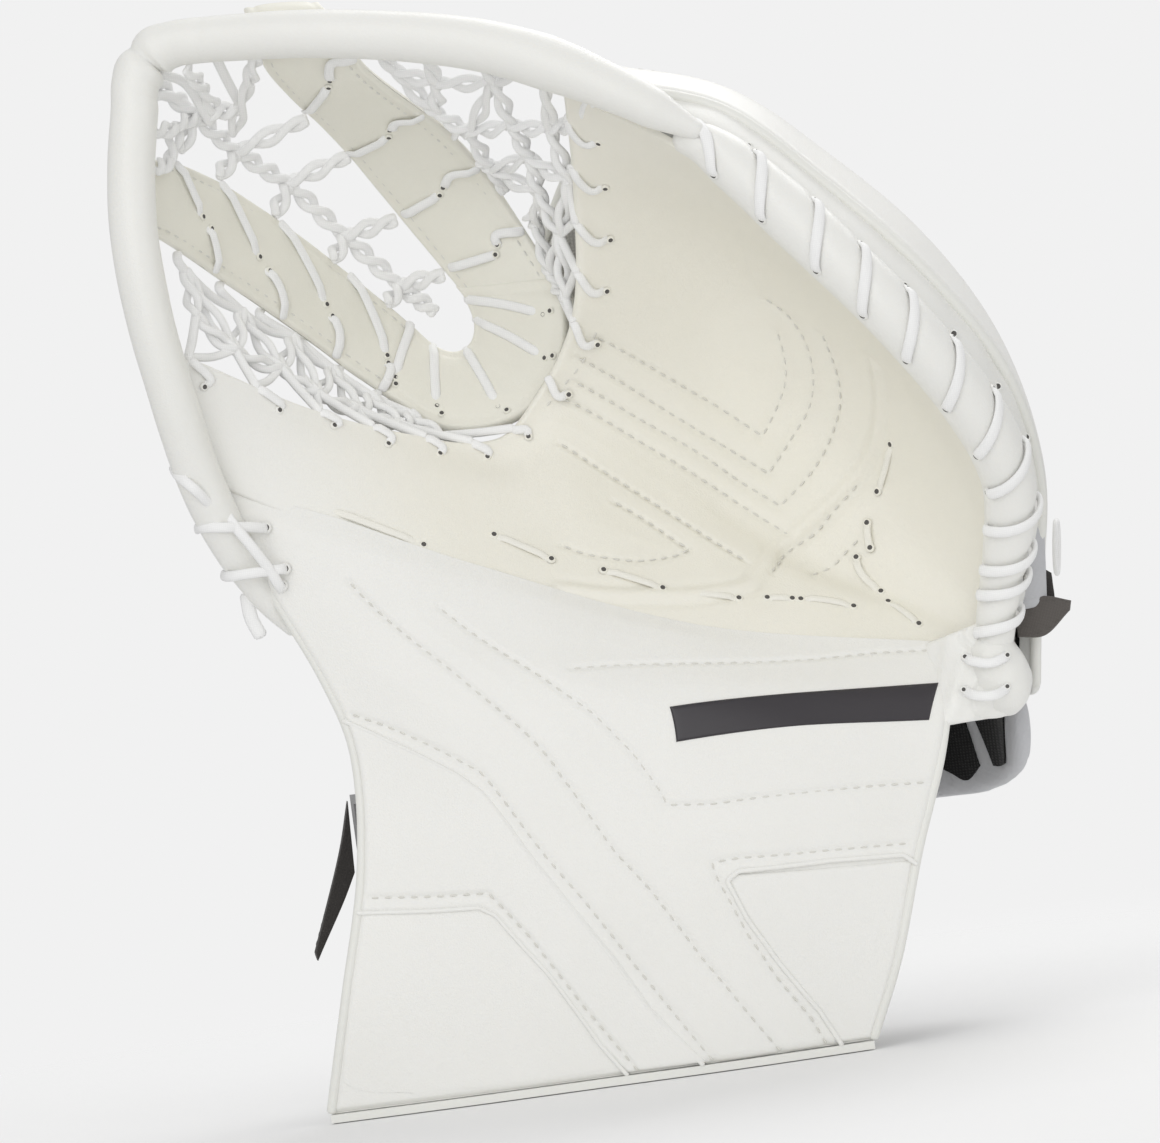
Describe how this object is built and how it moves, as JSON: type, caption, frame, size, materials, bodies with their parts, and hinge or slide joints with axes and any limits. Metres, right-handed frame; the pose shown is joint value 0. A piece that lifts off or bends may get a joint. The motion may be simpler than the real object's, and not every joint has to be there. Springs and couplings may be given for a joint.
{
  "type": "goalie catch glove",
  "caption": "Ice hockey goalie catch glove for the left hand: one-piece padded cuff, padded rim, laced pocket with two bands, and a hinged finger side.",
  "frame": {"origin": "centre of the wrist opening, where the hand goes in between the cuff and the backhand, 150 mm above the foot of the cuff", "axes": "+Z from the wrist to the fingertips, +X from the thumb side to the little finger side, -Y is the catching side"},
  "size_m": [0.3381, 0.2038, 0.4121],
  "materials": {
    "white_leather": "satin off-white synthetic leather with a fine grain",
    "palm_leather": "warm off-white synthetic palm leather with a soft sheen",
    "foam": "closed-cell foam",
    "stiffener": "translucent polyethylene board",
    "lining": "brushed knit lining",
    "lace": "waxed flat-woven skate lace",
    "grey_webbing": "dark grey webbing",
    "black_webbing": "near-black hook-and-loop webbing",
    "strap_plastic": "moulded grey nylon",
    "guard_fabric": "grey bound foam fabric",
    "black_mesh": "open black air mesh",
    "badge_film": "plain dark charcoal film"
  },
  "bodies": {
    "cuff": {"cuff_leather": "white_leather", "cuff_foam": "foam", "cuff_plate": "stiffener", "cuff_lining": "lining", "cuff_foot_binding": "white_leather", "cuff_side_binding": "white_leather", "cuff_corner_panel": "white_leather", "cuff_side_panel": "white_leather", "cuff_diagonal_panel": "white_leather", "cuff_badge": "badge_film", "wrist_pad": "lining", "palm_thumb_leather": "palm_leather", "palm_thumb_foam": "foam", "palm_thumb_lining": "lining", "thumb_back_leather": "white_leather", "thumb_back_foam": "foam", "thumb_back_plate": "stiffener", "thumb_sleeve": "lining", "thumb_roll": "white_leather", "thumb_roll_core": "foam", "lower_band": "palm_leather", "pocket_junction": "palm_leather", "net_lower": "lace", "net_middle_thumb": "lace", "palm_seam_lace": "lace", "thumb_lace": "lace", "wrist_strap": "black_webbing", "strap_loop": "strap_plastic"},
    "fingers": {"palm_finger_leather": "palm_leather", "palm_finger_foam": "foam", "palm_finger_plate": "stiffener", "palm_finger_lining": "lining", "backhand_leather": "white_leather", "backhand_foam": "foam", "backhand_plate": "stiffener", "backhand_lining": "lining", "finger_roll": "white_leather", "finger_roll_core": "foam", "top_roll": "white_leather", "top_roll_core": "foam", "upper_band": "palm_leather", "net_middle_finger": "lace", "net_upper": "lace", "edge_lace": "lace", "heel_roll": "white_leather", "finger_sleeves": "lining", "backhand_strap": "grey_webbing", "strap_keeper": "strap_plastic"},
    "wrist_guard": {"wrist_guard_pad": "guard_fabric", "wrist_guard_mesh": "black_mesh"},
    "wrist_strap_tail": {"wrist_strap_tail": "black_webbing"},
    "hand_strap_tail": {"hand_strap_tail": "grey_webbing"}
  },
  "joints": [
    {"name": "glove_close", "type": "hinge", "parent": "cuff", "child": "fingers", "pos_m": [-0.148, -0.05, 0.246], "axis": [0.7257, 0.055, -0.6858], "range_deg": [0, 30]},
    {"name": "wrist_guard_flex", "type": "hinge", "parent": "fingers", "child": "wrist_guard", "pos_m": [0.149, 0.004, -0.033], "axis": [0, 1, 0], "range_deg": [-12, 8]},
    {"name": "wrist_strap_swing", "type": "hinge", "parent": "cuff", "child": "wrist_strap_tail", "pos_m": [-0.111, -0.003, -0.048], "axis": [0.1998, 0.1998, 0.9592], "range_deg": [-25, 10]},
    {"name": "hand_strap_swing", "type": "hinge", "parent": "fingers", "child": "hand_strap_tail", "pos_m": [0.145, -0.031, 0], "axis": [0, 0, 1], "range_deg": [-35, 5]}
  ]
}
